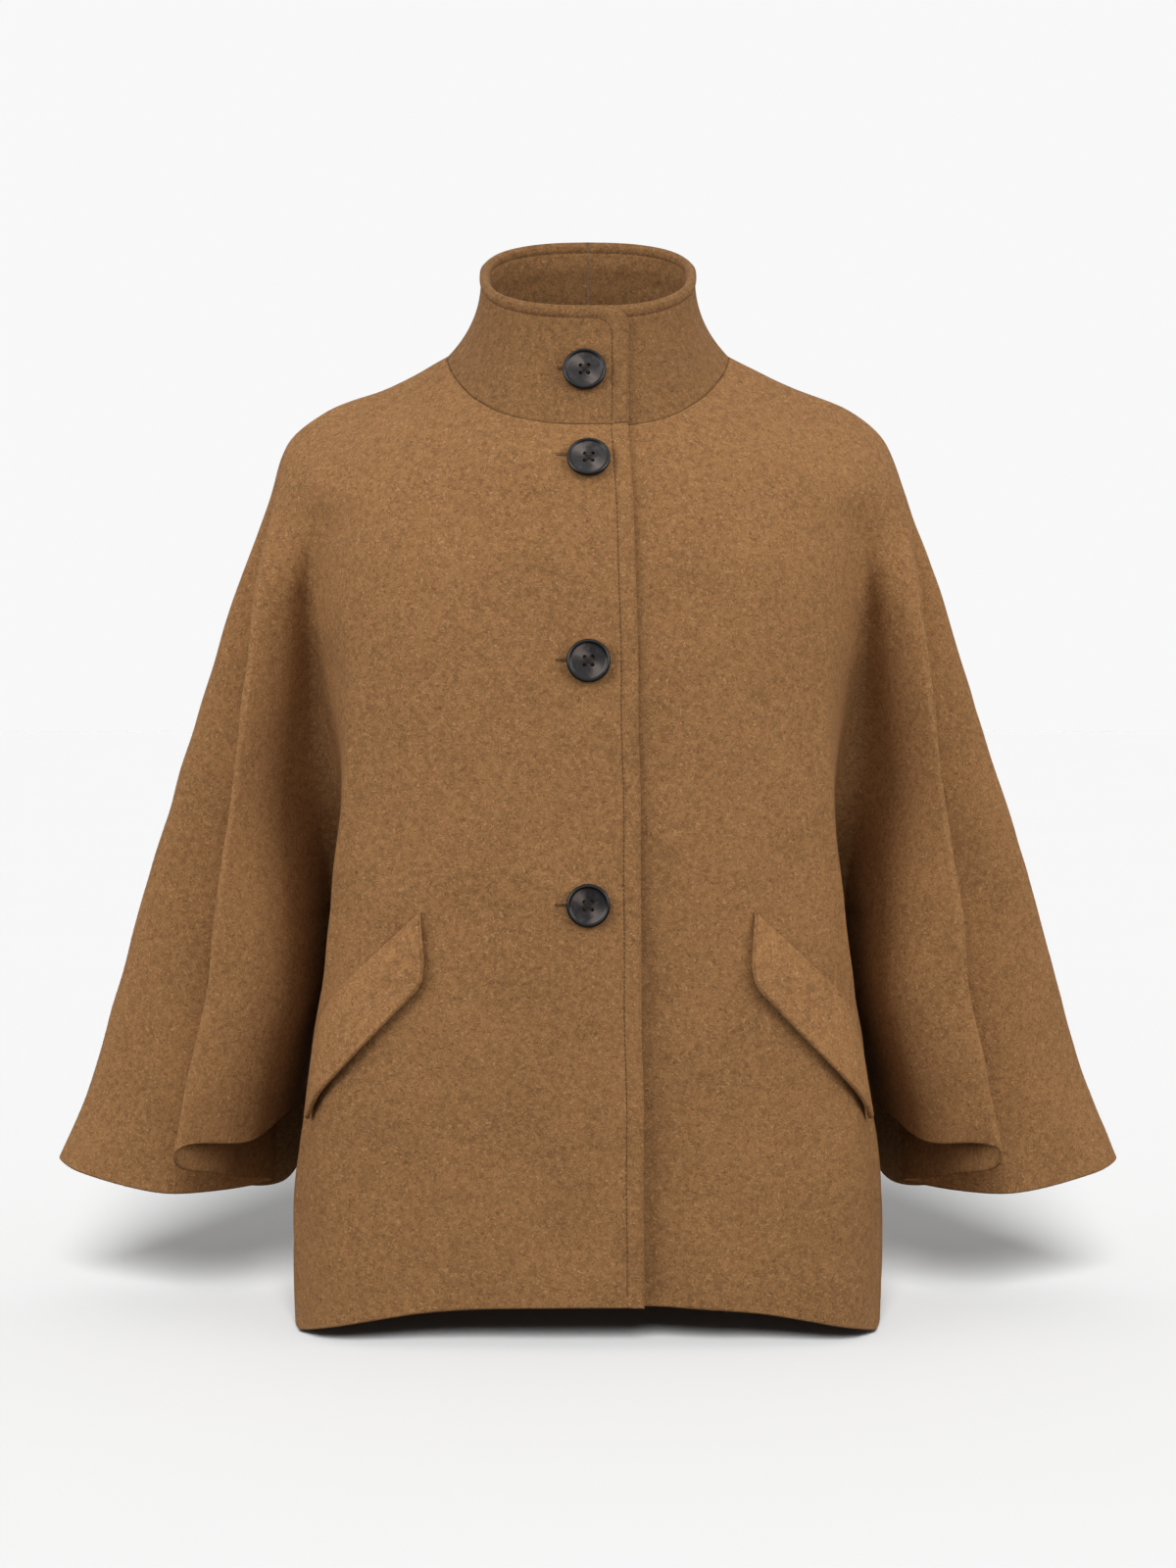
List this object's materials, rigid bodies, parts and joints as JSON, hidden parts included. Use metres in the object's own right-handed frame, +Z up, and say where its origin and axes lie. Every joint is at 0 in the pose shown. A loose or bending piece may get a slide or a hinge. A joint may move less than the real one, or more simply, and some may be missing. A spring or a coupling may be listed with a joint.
{
  "type": "wool cape",
  "caption": "Wool cape held in its worn shape: stand collar, buttoned lapped front, wide kimono sleeves that hang in folds, and slanted pocket flaps.",
  "frame": {"origin": "midway between the two shoulder neck points, where the wearer's shoulders carry the cape", "axes": "+Z up, the front of the cape faces -Y, the wearer's right is -X"},
  "size_m": [0.7916, 0.2907, 0.7884],
  "materials": {
    "wool": "brushed camel wool with a short lying nap",
    "horn": "dark polished horn with a soft shine"
  },
  "bodies": {
    "root": {"front_right": "wool", "front_left": "wool", "back": "wool", "collar_right": "wool", "collar_left": "wool", "pocket_flap_right": "wool", "pocket_flap_left": "wool", "button_1": "horn", "button_2": "horn", "button_3": "horn", "button_4": "horn"}
  },
  "joints": []
}
